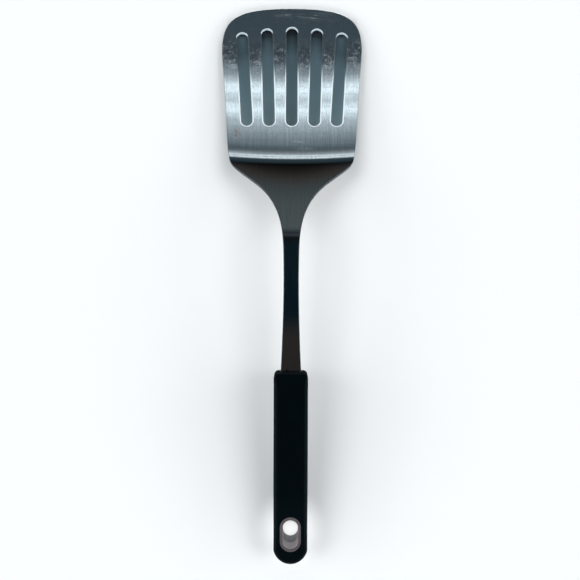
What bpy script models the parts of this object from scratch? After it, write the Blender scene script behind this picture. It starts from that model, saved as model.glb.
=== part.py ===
# Grill spatula: one stamped and bent sheet of stainless steel (slotted blade, creased heel, neck, shank and tang),
# two hard plastic core halves clamped round the tang, and a soft-touch sleeve over them with a lined hanging hole.
#
# Units are metres.  The tool is drawn in its own frame, in which the handle is level:
#   X to the right, Y along the handle towards the blade's tip, Z out of the handle's front face.
# The whole tool is then tilted about X until the blade's tip and the butt of the grip stand on the table together.

import math

import bmesh
import bpy
from mathutils import Matrix, Vector

# ------------------------------------------------------------------------------------------------ driving dimensions

# sheet
SHEET_T = 0.0018            # thickness of the stainless sheet
EDGE_BREAK = 0.00030        # chamfer tumbled onto every blanked edge

# bends, measured along the handle's axis (Y) from the tool's datum, which lies on the shank
SHANK_BEND_Y = 0.0335       # where the shank's line meets the neck's line
NECK_ANGLE = math.radians(30.0)     # how steeply the neck falls from the shank
NECK_LEN = 0.06042          # from that bend to the crease at the heel
SHANK_BEND_REACH = 0.0043   # half length of the soft bend between shank and neck
CREASE_REACH = 0.0026       # half length of the bend at the heel
CREASE_FLARE = math.radians(4.2)    # the press also draws the blade up towards the crease
CREASE_FLARE_LEN = 0.0072           # length over which that extra slope dies away
CREASE_BOW = 0.96           # the crease bows towards the handle: shift = CREASE_BOW * x^2 (1/m)
HEEL_ANGLE = math.radians(12.0)     # slope of the blade past the crease
TIP_ANGLE = math.radians(11.6)      # slope of the blade at its tip
BLADE_LEN = 0.1183          # from the crease to the tip, along the sheet

# blank outline: half widths, and stations along the sheet from the crease (towards the tip positive)
BLADE_HALF_MAX = 0.04925
BLADE_MAX_AT = 0.0859
HEEL_HALF = 0.0466
HEEL_AT = 0.0538
SIDE_TAPER = math.radians(5.0)
SHOULDER_HALF = 0.0230      # where the convex heel corner turns into the concave neck
SHOULDER_AT = -0.01895
SHOULDER_ANGLE = math.radians(46.5)
WAIST_HALF = 0.00495        # shank just below the neck
WAIST_AT = -0.0095          # measured from the shank bend
WAIST_ANGLE = math.radians(1.2)
ENTRY_HALF = 0.0064         # shank where it goes into the grip
ENTRY_ANGLE = math.radians(2.7)

# slots: (bottom x, top x, length from the crease of the bottom end and of the top end)
SLOT_W = 0.0086             # width over the chamfers
SLOT_BOTTOM = 0.0265
SLOT_ROWS = (
    (-0.0304, -0.0355, 0.0987),
    (-0.0153, -0.0178, 0.1019),
    (0.0, 0.0, 0.1033),
    (0.0153, 0.0178, 0.1019),
    (0.0304, 0.0355, 0.0987),
)

# tang inside the handle
TANG_HALF = 0.0060
TANG_TIP_HALF = 0.0045
TANG_END_Y = -0.1290
PEG_Y = (-0.0720, -0.1100)
PEG_HOLE_R = 0.0027         # over the chamfers
PEG_R = 0.0021

# grip sleeve
GRIP_TOP_Y = -0.0502        # flat end that the shank comes out of
GRIP_BUTT_Y = -0.1645
GRIP_HALF_W = 0.01037
GRIP_HALF_W_BUTT = 0.01022
GRIP_HALF_T = 0.00925
GRIP_PLAN_R = 0.0026        # plan corners at the flat end
GRIP_BUTT_R = 0.01070       # arc of the butt in plan
GRIP_BUTT_CORNER_R = 0.0032  # where that arc meets the sides
GRIP_EDGE_R = 0.0030        # rounding of the long edges
GRIP_END_EDGE_R = 0.0006    # rounding of the flat end's edges
GRIP_BUTT_EDGE_R = 0.0024
GRIP_WALL = 0.0022
GAP = 0.00030               # clearance between neighbouring pieces

# hanging hole
HOLE_Y = -0.14605
RIM_HALF_W = 0.0063         # outside of the lining
RIM_HALF_L = 0.01035
HOLE_HALF_W = 0.0051        # mouth of the hole
HOLE_HALF_L = 0.0090
HOLE_CHAMFER = 0.0003
THROAT_HALF_W = 0.0046      # narrowest, at the parting plane
THROAT_HALF_L = 0.0087

REST_TILT = math.radians(7.2756)     # tip and butt then touch the table together


# ------------------------------------------------------------------------------------------------ scene start

for old in list(bpy.data.objects):
    bpy.data.objects.remove(old, do_unlink=True)


def make_material(name, colour, metallic, roughness):
    mat = bpy.data.materials.new(name)
    mat.use_nodes = True
    bsdf = mat.node_tree.nodes["Principled BSDF"]
    bsdf.inputs["Base Color"].default_value = (colour[0], colour[1], colour[2], 1.0)
    bsdf.inputs["Metallic"].default_value = metallic
    bsdf.inputs["Roughness"].default_value = roughness
    mat.diffuse_color = (colour[0], colour[1], colour[2], 1.0)
    return mat


STEEL = make_material("brushed_stainless", (0.56, 0.58, 0.59), 1.0, 0.32)
CORE_FRONT = make_material("warm_grey_plastic", (0.115, 0.098, 0.102), 0.0, 0.5)
CORE_BACK = make_material("warm_grey_plastic_back", (0.100, 0.092, 0.098), 0.0, 0.5)
GRIP = make_material("black_soft_touch", (0.006, 0.0075, 0.0085), 0.0, 0.6)


# ------------------------------------------------------------------------------------------------ curves and outlines

def bezier(p0, p1, p2, p3, n):
    """n points of a cubic, without its first one."""
    out = []
    for i in range(1, n + 1):
        t = i / n
        a, b, c, d = (1 - t) ** 3, 3 * (1 - t) ** 2 * t, 3 * (1 - t) * t * t, t ** 3
        out.append((a * p0[0] + b * p1[0] + c * p2[0] + d * p3[0], a * p0[1] + b * p1[1] + c * p2[1] + d * p3[1]))
    return out


def step(p, angle, length):
    """The point that lies length further along a direction leaning angle outwards from the sheet's long axis."""
    return (p[0] + math.sin(angle) * length, p[1] + math.cos(angle) * length)


S_BEND = SHANK_BEND_Y                       # station of the shank bend along the sheet
S_CREASE = SHANK_BEND_Y + NECK_LEN          # station of the crease


def blank_half():
    """Right-hand half of the blank's outline, from the tang's end to the blade's tip, as (x, station)."""
    pts = []
    # rounded end of the tang
    for i in range(0, 5):
        a = math.pi / 2 * i / 4
        pts.append((TANG_TIP_HALF * math.sin(a) ** 1.0, TANG_END_Y + 0.003 * (1 - math.cos(a))))
    pts.append((TANG_HALF, TANG_END_Y + 0.025))
    pts.append((TANG_HALF, GRIP_TOP_Y - 0.0060))
    entry = (ENTRY_HALF, GRIP_TOP_Y - 0.0020)
    pts.append(entry)
    waist = (WAIST_HALF, S_BEND + WAIST_AT)
    pts += bezier(entry, step(entry, -ENTRY_ANGLE, 0.030), step(waist, WAIST_ANGLE, -0.025), waist, 10)
    shoulder = (SHOULDER_HALF, S_CREASE + SHOULDER_AT)
    pts += bezier(waist, step(waist, WAIST_ANGLE, 0.0155), step(shoulder, SHOULDER_ANGLE, -0.0215), shoulder, 12)
    heel = (HEEL_HALF, S_CREASE + HEEL_AT)
    pts += bezier(shoulder, step(shoulder, SHOULDER_ANGLE, 0.033), step(heel, SIDE_TAPER, -0.0645), heel, 16)
    widest = (BLADE_HALF_MAX, S_CREASE + BLADE_MAX_AT)
    pts += bezier(heel, step(heel, SIDE_TAPER, 0.020), step(widest, 0.0, -0.008), widest, 5)
    tip = (0.0, S_CREASE + BLADE_LEN)
    pts += bezier(widest, step(widest, 0.0, 0.024), (0.040, tip[1]), tip, 18)
    return pts


def blank_outline():
    half = blank_half()
    left = [(-x, s) for x, s in reversed(half) if x > 1e-9]
    return half + left


def slot_outline(x0, x1, s0, s1, r, n=8):
    """A round-ended slot from its bottom end (x0, s0) to its top end (x1, s1); the ends are the outermost points."""
    d = Vector((x1 - x0, s1 - s0)).normalized()
    a = Vector((x0, s0)) + d * r
    b = Vector((x1, s1)) - d * r
    side = Vector((d.y, -d.x))
    pts = []
    for i in range(n + 1):
        t = math.pi * i / n
        pts.append(b + side * (r * math.cos(t)) + d * (r * math.sin(t)))
    for i in range(n + 1):
        t = math.pi * i / n
        pts.append(a - side * (r * math.cos(t)) - d * (r * math.sin(t)))
    return [(p.x, p.y) for p in pts]


def circle(x, y, r, n=20):
    return [(x + r * math.cos(2 * math.pi * i / n), y + r * math.sin(2 * math.pi * i / n)) for i in range(n)]


def area(pts):
    return 0.5 * sum(a[0] * b[1] - b[0] * a[1] for a, b in zip(pts, pts[1:] + pts[:1]))


def counter_clockwise(pts):
    return pts if area(pts) > 0 else pts[::-1]


def normals_of(pts):
    """Outward normals, by the neighbours, of a counter-clockwise loop."""
    n = len(pts)
    out = []
    for i in range(n):
        a, b, c = Vector(pts[i - 1]), Vector(pts[i]), Vector(pts[(i + 1) % n])
        e0, e1 = (b - a).normalized(), (c - b).normalized()
        n0, n1 = Vector((e0.y, -e0.x)), Vector((e1.y, -e1.x))
        m = (n0 + n1).normalized()
        out.append(m / max(0.6, m.dot(n0)))
    return out


# ------------------------------------------------------------------------------------------------ the sheet's bends

def blade_line(t):
    """A point (y, z) on the blade, t along the sheet past the straight crease line; the slope eases towards the tip."""
    k = (HEEL_ANGLE - TIP_ANGLE) / BLADE_LEN
    y0 = SHANK_BEND_Y + NECK_LEN * math.cos(NECK_ANGLE)
    z0 = -NECK_LEN * math.sin(NECK_ANGLE)
    a = HEEL_ANGLE - k * t
    return Vector((y0 + (math.sin(HEEL_ANGLE) - math.sin(a)) / k, z0 - (math.cos(a) - math.cos(HEEL_ANGLE)) / k))


def mid_surface(x, s):
    """Where the point (x, s) of the flat blank's middle plane lies once the sheet is bent."""
    bow = CREASE_BOW * x * x
    bend = Vector((SHANK_BEND_Y, 0.0))
    crease = blade_line(bow)
    s_crease = S_CREASE + bow

    def straight(q):
        if q <= S_BEND:
            return Vector((q, 0.0))
        if q <= s_crease:
            return bend.lerp(crease, (q - S_BEND) / (s_crease - S_BEND))
        past = q - s_crease
        lift = -math.tan(CREASE_FLARE) * min(past, CREASE_REACH)
        if past > CREASE_REACH:
            rest = max(0.0, 1 - (past - CREASE_REACH) / CREASE_FLARE_LEN)
            lift -= CREASE_FLARE * CREASE_FLARE_LEN / 2.5 * (1 - rest ** 2.5)
        return blade_line(q - S_CREASE) + Vector((0.0, lift))

    p = straight(s)
    for corner, point, reach in ((S_BEND, bend, SHANK_BEND_REACH), (s_crease, crease, CREASE_REACH)):
        if abs(s - corner) < reach:
            t = (s - corner + reach) / (2 * reach)
            a, b = straight(corner - reach), straight(corner + reach)
            p = a * (1 - t) ** 2 + point * (2 * t * (1 - t)) + b * t ** 2
    return Vector((x, p.x, p.y))


def bend_sheet(x, s, height):
    h = 0.00005
    ds = mid_surface(x, s + h) - mid_surface(x, s - h)
    dx = mid_surface(x + h, s) - mid_surface(x - h, s)
    return mid_surface(x, s) + dx.cross(ds).normalized() * height


# ------------------------------------------------------------------------------------------------ mesh helpers

def new_object(name, bm, material, smooth_angle=30.0):
    bmesh.ops.recalc_face_normals(bm, faces=bm.faces[:])
    for f in bm.faces:
        f.smooth = True
    limit = math.radians(smooth_angle)
    for e in bm.edges:
        if len(e.link_faces) == 2 and e.calc_face_angle(0.0) > limit:
            e.smooth = False
    mesh = bpy.data.meshes.new(name)
    bm.to_mesh(mesh)
    bm.free()
    mesh.materials.append(material)
    obj = bpy.data.objects.new(name, mesh)
    bpy.context.scene.collection.objects.link(obj)
    return obj


def ring(bm, points):
    return [bm.verts.new(p) for p in points]


def skin(bm, rings):
    """Quads between each ring and the next one."""
    for a, b in zip(rings, rings[1:]):
        n = len(a)
        for i in range(n):
            j = (i + 1) % n
            bm.faces.new((a[i], a[j], b[j], b[i]))


def lofted(bm, rings):
    vr = [ring(bm, r) for r in rings]
    skin(bm, vr)
    bm.faces.new(vr[0][::-1])
    bm.faces.new(vr[-1])


def cutter_object(name, bm):
    obj = new_object(name, bm, GRIP)
    obj.hide_render = True
    obj.display_type = 'WIRE'
    return obj


def cut(obj, cutter, operation='DIFFERENCE'):
    mod = obj.modifiers.new(operation.lower() + "_" + cutter.name, 'BOOLEAN')
    mod.operation = operation
    mod.solver = 'EXACT'
    mod.object = cutter


# ------------------------------------------------------------------------------------------------ blade, neck, shank, tang

def build_steel():
    bm = bmesh.new()
    loops = [counter_clockwise(blank_outline())]
    for x0, x1, top in SLOT_ROWS:
        pts = slot_outline(x0, x1, S_CREASE + SLOT_BOTTOM, S_CREASE + top, SLOT_W / 2)
        loops.append(counter_clockwise(pts)[::-1])
    for y in PEG_Y:
        loops.append(circle(0.0, y, PEG_HOLE_R)[::-1])

    half = SHEET_T / 2
    levels = ((-half, EDGE_BREAK), (-half + EDGE_BREAK, 0.0), (half - EDGE_BREAK, 0.0), (half, EDGE_BREAK))
    low_edges, high_edges = [], []
    for k, pts in enumerate(loops):
        # the chamfer always steps from the wall into the material; a hole's loop runs clockwise, so the same formula serves
        nrm = normals_of(pts)
        if k >= 1:
            # holes are drawn at the size over their chamfers, so the wall stands inside that line
            wall = [(p[0] + n.x * EDGE_BREAK, p[1] + n.y * EDGE_BREAK) for p, n in zip(pts, nrm)]
        else:
            wall = pts
        rings = []
        for z, inset in levels:
            rings.append(ring(bm, [(p[0] - n.x * inset, p[1] - n.y * inset, z) for p, n in zip(wall, nrm)]))
        skin(bm, rings)
        for target, r in ((low_edges, rings[0]), (high_edges, rings[-1])):
            for i in range(len(r)):
                target.append(bm.edges.get((r[i], r[(i + 1) % len(r)])))
    for edges in (low_edges, high_edges):
        bmesh.ops.triangle_fill(bm, use_beauty=True, use_dissolve=False, edges=edges, normal=(0, 0, 1))

    def slice_at(co, no):
        bmesh.ops.bisect_plane(bm, geom=bm.verts[:] + bm.edges[:] + bm.faces[:], dist=1e-6, plane_co=co, plane_no=no)

    for x in (-0.038, -0.028, -0.018, -0.009, 0.0, 0.009, 0.018, 0.028, 0.038):
        slice_at((x, 0, 0), (1, 0, 0))

    # stations follow the bowed crease, so the blank is slid straight for the slicing and back again
    for v in bm.verts:
        v.co.y -= CREASE_BOW * v.co.x ** 2
    stations = [S_BEND + SHANK_BEND_REACH * (i / 4 - 1) for i in range(9)]
    stations += [S_CREASE + CREASE_REACH * (i / 3 - 1) for i in range(7)]
    stations += [S_BEND + NECK_LEN * f for f in (0.3, 0.55, 0.8)]
    stations += [S_CREASE + CREASE_REACH + CREASE_FLARE_LEN * f for f in (0.2, 0.42, 0.68, 1.0)]
    stations += [S_CREASE + BLADE_LEN * f for f in (0.18, 0.4, 0.6, 0.8)]
    for s in stations:
        slice_at((0, s, 0), (0, 1, 0))
    for v in bm.verts:
        v.co.y += CREASE_BOW * v.co.x ** 2

    for v in bm.verts:
        v.co = bend_sheet(v.co.x, v.co.y, v.co.z)
    bmesh.ops.triangulate(bm, faces=bm.faces[:])
    return new_object("blade_and_shank", bm, STEEL, 25.0)


# ------------------------------------------------------------------------------------------------ handle

def grip_plan(grow=0.0):
    """Plan outline of the handle, counter-clockwise, offset inwards by -grow, with the edge radius at each point."""
    hw = GRIP_HALF_W + grow
    top = GRIP_TOP_Y + grow
    butt = GRIP_BUTT_Y - grow
    rc = max(0.0008, GRIP_PLAN_R + grow)
    big = GRIP_BUTT_R + grow
    small = max(0.0006, GRIP_BUTT_CORNER_R + grow)
    cy = butt + big
    fx = hw - small
    fy = cy - math.sqrt((big - small) ** 2 - fx ** 2)
    ang = math.atan2(fx, cy - fy)           # from straight down to the tangent point on the big arc

    half = []                               # right-hand side, from the butt up to the flat end
    for i in range(0, 9):
        a = ang * i / 8
        half.append((big * math.sin(a), cy - big * math.cos(a), GRIP_BUTT_EDGE_R))
    for i in range(1, 4):
        a = ang + (math.pi / 2 - ang) * i / 3
        half.append((fx + small * math.sin(a), fy - small * math.cos(a), GRIP_BUTT_EDGE_R))
    for f in (0.04, 0.10, 0.18, 0.26, 0.40, 0.60, 0.80, 0.93):
        half.append((hw, fy + (top - rc - fy) * f, GRIP_EDGE_R))
    for i in range(0, 6):
        a = math.pi / 2 * i / 5
        w = i / 5
        r = (0.0020 + (GRIP_END_EDGE_R - 0.0020) * w)
        half.append((hw - rc + rc * math.cos(a), top - rc + rc * math.sin(a), r))
    half.append(((hw - rc) * 0.5, top, GRIP_END_EDGE_R))

    def taper(x, y):
        t = min(1.0, max(0.0, (-0.115 - y) / 0.030))
        t = t * t * (3 - 2 * t)
        return x * (1 + (GRIP_HALF_W_BUTT / GRIP_HALF_W - 1) * t)

    half = [(taper(x, y), y, r) for x, y, r in half]
    left = [(-x, y, r) for x, y, r in reversed(half) if x > 1e-9]
    return half + [(0.0, top, GRIP_END_EDGE_R)] + left


def rounded_slab(bm, plan, half_t, radius_of, seg=4):
    """A slab of the given plan with its front and back edges rounded by a radius that varies round the plan."""
    pts = [(x, y) for x, y, r in plan]
    nrm = normals_of(pts)
    rad = [radius_of(r) for x, y, r in plan]
    rings = []
    for side in (-1, 1):
        angles = [math.pi / 2 * i / seg for i in range(seg + 1)]
        if side < 0:
            angles = angles[::-1]
        for a in angles:
            rings.append([
                (p[0] - n.x * r * (1 - math.cos(a)), p[1] - n.y * r * (1 - math.cos(a)),
                 side * (half_t - r + r * math.sin(a)))
                for p, n, r in zip(pts, nrm, rad)])
    lofted(bm, rings)


def oval(half_w, half_l, z, n=10, y=HOLE_Y):
    r = half_w
    straight = half_l - half_w
    pts = []
    for i in range(n + 1):
        a = math.pi * i / n
        pts.append((r * math.cos(a), y + straight + r * math.sin(a), z))
    for i in range(n + 1):
        a = math.pi + math.pi * i / n
        pts.append((r * math.cos(a), y - straight + r * math.sin(a), z))
    return pts


def oval_prism(bm, half_w, half_l, z0, z1):
    lofted(bm, [oval(half_w, half_l, z0), oval(half_w, half_l, z1)])


def slab_cutter(bm, x0, x1, y0, y1, z0, z1):
    corners = [(x0, y0), (x1, y0), (x1, y1), (x0, y1)]
    lofted(bm, [[(x, y, z0) for x, y in corners], [(x, y, z1) for x, y in corners]])


def build_grip():
    bm = bmesh.new()
    rounded_slab(bm, grip_plan(), GRIP_HALF_T, lambda r: r)
    grip = new_object("grip_sleeve", bm, GRIP, 28.0)

    bm = bmesh.new()
    wall = GRIP_WALL
    rounded_slab(bm, grip_plan(-wall), GRIP_HALF_T - wall, lambda r: 0.0004, seg=2)
    cut(grip, cutter_object("cavity_cutter", bm))

    bm = bmesh.new()
    oval_prism(bm, RIM_HALF_W + GAP, RIM_HALF_L + GAP, -0.015, 0.015)
    cut(grip, cutter_object("rim_cutter", bm))

    bm = bmesh.new()
    hw, ht = ENTRY_HALF + GAP, SHEET_T / 2 + GAP
    slab_cutter(bm, -hw, hw, GRIP_TOP_Y - 0.005, GRIP_TOP_Y + 0.004, -ht, ht)
    cut(grip, cutter_object("shank_slot_cutter", bm))
    return grip


def build_core(front):
    side = 1 if front else -1
    inset = GRIP_WALL + GAP
    name = "handle_core_front" if front else "handle_core_back"
    bm = bmesh.new()
    plan = grip_plan(-inset)
    half_t = GRIP_HALF_T - inset
    pts = [(x, y) for x, y, r in plan]
    nrm = normals_of(pts)
    rings = []
    z0 = GAP / 2
    for z, ins in ((z0, 0.0), (half_t - 0.0004, 0.0), (half_t, 0.0004)):
        rings.append([(p[0] - n.x * ins, p[1] - n.y * ins, side * z) for p, n in zip(pts, nrm)])
    lofted(bm, rings)
    core = new_object(name, bm, CORE_FRONT if front else CORE_BACK)

    def tool(tag):
        return name + "_" + tag

    # raised lining of the hanging hole, flush with the sleeve
    bm = bmesh.new()
    rings = []
    for z, ins in ((half_t - 0.0020, 0.0), (GRIP_HALF_T - 0.0003, 0.0), (GRIP_HALF_T, 0.0003)):
        rings.append([(x, y, side * z) for x, y, q in oval(RIM_HALF_W - ins, RIM_HALF_L - ins, 0)])
    lofted(bm, rings)
    cut(core, cutter_object(tool("lining"), bm), 'UNION')

    # the hole itself: chamfered mouth, drafted wall, narrowest at the parting plane
    bm = bmesh.new()
    rings = []
    for z, w, l in ((-0.001, THROAT_HALF_W, THROAT_HALF_L),
                    (0.0, THROAT_HALF_W, THROAT_HALF_L),
                    (GRIP_HALF_T - HOLE_CHAMFER * 2, HOLE_HALF_W - HOLE_CHAMFER, HOLE_HALF_L - HOLE_CHAMFER),
                    (GRIP_HALF_T, HOLE_HALF_W, HOLE_HALF_L),
                    (GRIP_HALF_T + 0.001, HOLE_HALF_W + HOLE_CHAMFER, HOLE_HALF_L + HOLE_CHAMFER)):
        rings.append([(x, y, side * z) for x, y, q in oval(w, l, 0)])
    lofted(bm, rings)
    cut(core, cutter_object(tool("hole"), bm))

    # pocket for the tang, and the wider shank where it enters
    bm = bmesh.new()
    deep = SHEET_T / 2 + GAP
    th = ENTRY_HALF + GAP
    y_end = TANG_END_Y - GAP
    outline = [(-th, GRIP_TOP_Y), (-th, GRIP_TOP_Y - 0.0095), (-TANG_HALF - GAP, GRIP_TOP_Y - 0.0115),
               (-TANG_HALF - GAP, y_end), (TANG_HALF + GAP, y_end), (TANG_HALF + GAP, GRIP_TOP_Y - 0.0115),
               (th, GRIP_TOP_Y - 0.0095), (th, GRIP_TOP_Y)]
    lofted(bm, [[(x, y, -side * 0.001) for x, y in outline], [(x, y, side * deep) for x, y in outline]])
    cut(core, cutter_object(tool("tang_pocket"), bm))

    # pegs on the front half reach through the tang into sockets of the back half
    for i, y in enumerate(PEG_Y):
        bm = bmesh.new()
        if front:
            lofted(bm, [[(px, py, deep + 0.002) for px, py in circle(0.0, y, PEG_R)],
                        [(px, py, -deep - 0.0015) for px, py in circle(0.0, y, PEG_R)],
                        [(px, py, -deep - 0.0019) for px, py in circle(0.0, y, PEG_R - 0.0004)]])
            cut(core, cutter_object(tool("peg_%d" % i), bm), 'UNION')
        else:
            lofted(bm, [[(px, py, 0.0) for px, py in circle(0.0, y, PEG_R + GAP)],
                        [(px, py, -deep - 0.0022) for px, py in circle(0.0, y, PEG_R + GAP)]])
            cut(core, cutter_object(tool("socket_%d" % i), bm))
    return core


# ------------------------------------------------------------------------------------------------ assembly

steel = build_steel()
grip = build_grip()
core_front = build_core(True)
core_back = build_core(False)

# the empty carries the whole tool: tilted until tip and butt stand on the table, and centred over the origin
tool = bpy.data.objects.new("tool_rest_frame", None)
bpy.context.scene.collection.objects.link(tool)
tool.rotation_euler = (REST_TILT, 0.0, 0.0)
turn = Matrix.Rotation(REST_TILT, 4, 'X')
world = [turn @ v.co for obj in (steel, grip) for v in obj.data.vertices]
low = Vector((min(p.x for p in world), min(p.y for p in world), min(p.z for p in world)))
high = Vector((max(p.x for p in world), max(p.y for p in world), max(p.z for p in world)))
tool.location = (-(low.x + high.x) / 2, -(low.y + high.y) / 2, -low.z)
for obj in list(bpy.data.objects):
    if obj is not tool:
        obj.parent = tool
bpy.context.view_layer.update()
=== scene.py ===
import math

import bmesh
import bpy
from mathutils import Matrix, Vector


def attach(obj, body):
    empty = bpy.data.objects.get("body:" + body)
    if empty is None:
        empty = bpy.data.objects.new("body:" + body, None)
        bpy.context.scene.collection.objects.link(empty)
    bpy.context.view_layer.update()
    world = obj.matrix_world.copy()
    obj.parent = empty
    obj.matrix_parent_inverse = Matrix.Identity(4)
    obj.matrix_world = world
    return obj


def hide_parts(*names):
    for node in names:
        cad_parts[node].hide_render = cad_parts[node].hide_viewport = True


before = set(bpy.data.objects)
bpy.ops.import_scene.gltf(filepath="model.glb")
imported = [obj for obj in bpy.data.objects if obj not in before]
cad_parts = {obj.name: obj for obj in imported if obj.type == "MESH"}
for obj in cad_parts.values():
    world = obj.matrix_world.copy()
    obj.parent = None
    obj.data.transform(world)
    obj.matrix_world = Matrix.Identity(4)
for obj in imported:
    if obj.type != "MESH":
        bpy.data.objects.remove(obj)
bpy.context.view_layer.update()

# ---------------------------------------------------------------------------------------------------------------------
# dimensions, in metres, in the tool's own frame: X right, Y along the handle towards the tip, Z out of the front
# ---------------------------------------------------------------------------------------------------------------------

SHEET_T = 0.0018
EDGE_R = 0.00034            # rollover of the outer edges
SLOT_EDGE_R = 0.00048       # rollover of the punched slots

SHANK_BEND_Y = 0.0335
NECK_ANGLE = math.radians(30.0)
NECK_LEN = 0.06042
SHANK_BEND_REACH = 0.0043
CREASE_REACH = 0.0021
CREASE_FLARE = math.radians(4.2)
CREASE_FLARE_LEN = 0.0072
CREASE_BOW = 0.96
HEEL_ANGLE = math.radians(12.0)
TIP_ANGLE = math.radians(11.6)
BLADE_LEN = 0.1183

BLADE_HALF_MAX = 0.04925
BLADE_MAX_AT = 0.0859
HEEL_HALF = 0.0466
HEEL_AT = 0.0538
SIDE_TAPER = math.radians(5.0)
SHOULDER_HALF = 0.0230
SHOULDER_AT = -0.01895
SHOULDER_ANGLE = math.radians(46.5)
WAIST_HALF = 0.00495
WAIST_AT = -0.0095
WAIST_ANGLE = math.radians(1.2)
ENTRY_HALF = 0.0064
ENTRY_ANGLE = math.radians(2.7)

SLOT_W = 0.0086
SLOT_BOTTOM = 0.0265
SLOT_ROWS = (
    (-0.0304, -0.0355, 0.0987),
    (-0.0153, -0.0178, 0.1019),
    (0.0, 0.0, 0.1033),
    (0.0153, 0.0178, 0.1019),
    (0.0304, 0.0355, 0.0987),
)

TANG_HALF = 0.0060
TANG_TIP_HALF = 0.0045
TANG_END_Y = -0.1290
PEG_Y = (-0.0720, -0.1100)
PEG_HOLE_R = 0.0027
PEG_R = 0.0021

GRIP_TOP_Y = -0.0502
GRIP_BUTT_Y = -0.1645
GRIP_HALF_W = 0.01037
GRIP_HALF_W_BUTT = 0.01022
GRIP_HALF_T = 0.00925
GRIP_PLAN_R = 0.0026
GRIP_BUTT_R = 0.01070
GRIP_BUTT_CORNER_R = 0.0032
GRIP_EDGE_R = 0.0030
GRIP_END_EDGE_R = 0.0007
GRIP_BUTT_EDGE_R = 0.0024
GRIP_WALL = 0.0022
FIT = 0.00005               # hairline that shows between the moulded pieces

HOLE_Y = -0.14605
RIM_HALF_W = 0.0063
RIM_HALF_L = 0.01035
HOLE_HALF_W = 0.0051
HOLE_HALF_L = 0.0090
HOLE_EDGE_R = 0.0004
THROAT_HALF_W = 0.0046
THROAT_HALF_L = 0.0087

REST_TILT = math.radians(7.2756)
TO_ROW = Matrix.Translation((0.0, -0.0214722, 0.0297032)) @ Matrix.Rotation(REST_TILT, 4, 'X')

S_BEND = SHANK_BEND_Y
S_CREASE = SHANK_BEND_Y + NECK_LEN


# ---------------------------------------------------------------------------------------------------------------------
# outlines
# ---------------------------------------------------------------------------------------------------------------------

def bezier(p0, p1, p2, p3, n):
    out = []
    for i in range(1, n + 1):
        t = i / n
        a, b, c, d = (1 - t) ** 3, 3 * (1 - t) ** 2 * t, 3 * (1 - t) * t * t, t ** 3
        out.append((a * p0[0] + b * p1[0] + c * p2[0] + d * p3[0], a * p0[1] + b * p1[1] + c * p2[1] + d * p3[1]))
    return out


def step(p, angle, length):
    return (p[0] + math.sin(angle) * length, p[1] + math.cos(angle) * length)


def blank_half():
    """Right-hand half of the blank's outline, from the tang's end to the blade's tip, as (x, station)."""
    pts = []
    for i in range(0, 7):
        a = math.pi / 2 * i / 6
        pts.append((TANG_TIP_HALF * math.sin(a), TANG_END_Y + 0.003 * (1 - math.cos(a))))
    pts.append((TANG_HALF, TANG_END_Y + 0.025))
    pts.append((TANG_HALF, GRIP_TOP_Y - 0.0060))
    entry = (ENTRY_HALF, GRIP_TOP_Y - 0.0020)
    pts.append(entry)
    waist = (WAIST_HALF, S_BEND + WAIST_AT)
    pts += bezier(entry, step(entry, -ENTRY_ANGLE, 0.030), step(waist, WAIST_ANGLE, -0.025), waist, 22)
    shoulder = (SHOULDER_HALF, S_CREASE + SHOULDER_AT)
    pts += bezier(waist, step(waist, WAIST_ANGLE, 0.0155), step(shoulder, SHOULDER_ANGLE, -0.0215), shoulder, 36)
    heel = (HEEL_HALF, S_CREASE + HEEL_AT)
    pts += bezier(shoulder, step(shoulder, SHOULDER_ANGLE, 0.033), step(heel, SIDE_TAPER, -0.0645), heel, 48)
    widest = (BLADE_HALF_MAX, S_CREASE + BLADE_MAX_AT)
    pts += bezier(heel, step(heel, SIDE_TAPER, 0.020), step(widest, 0.0, -0.008), widest, 14)
    tip = (0.0, S_CREASE + BLADE_LEN)
    pts += bezier(widest, step(widest, 0.0, 0.024), (0.040, tip[1]), tip, 54)
    return pts


def blank_outline():
    half = blank_half()
    left = [(-x, s) for x, s in reversed(half) if x > 1e-9]
    return half + left


def slot_outline(x0, x1, s0, s1, r, n=22):
    d = Vector((x1 - x0, s1 - s0)).normalized()
    a = Vector((x0, s0)) + d * r
    b = Vector((x1, s1)) - d * r
    side = Vector((d.y, -d.x))
    pts = []
    for i in range(n + 1):
        t = math.pi * i / n
        pts.append(b + side * (r * math.cos(t)) + d * (r * math.sin(t)))
    for i in range(n + 1):
        t = math.pi * i / n
        pts.append(a - side * (r * math.cos(t)) - d * (r * math.sin(t)))
    return [(p.x, p.y) for p in pts]


def circle(x, y, r, n=32):
    return [(x + r * math.cos(2 * math.pi * i / n), y + r * math.sin(2 * math.pi * i / n)) for i in range(n)]


def area(pts):
    return 0.5 * sum(a[0] * b[1] - b[0] * a[1] for a, b in zip(pts, pts[1:] + pts[:1]))


def counter_clockwise(pts):
    return pts if area(pts) > 0 else pts[::-1]


def normals_of(pts):
    n = len(pts)
    out = []
    for i in range(n):
        a, b, c = Vector(pts[i - 1]), Vector(pts[i]), Vector(pts[(i + 1) % n])
        e0, e1 = (b - a).normalized(), (c - b).normalized()
        n0, n1 = Vector((e0.y, -e0.x)), Vector((e1.y, -e1.x))
        m = (n0 + n1).normalized()
        out.append(m / max(0.6, m.dot(n0)))
    return out


# ---------------------------------------------------------------------------------------------------------------------
# the bent sheet
# ---------------------------------------------------------------------------------------------------------------------

def blade_line(t):
    k = (HEEL_ANGLE - TIP_ANGLE) / BLADE_LEN
    y0 = SHANK_BEND_Y + NECK_LEN * math.cos(NECK_ANGLE)
    z0 = -NECK_LEN * math.sin(NECK_ANGLE)
    a = HEEL_ANGLE - k * t
    return Vector((y0 + (math.sin(HEEL_ANGLE) - math.sin(a)) / k, z0 - (math.cos(a) - math.cos(HEEL_ANGLE)) / k))


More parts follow.
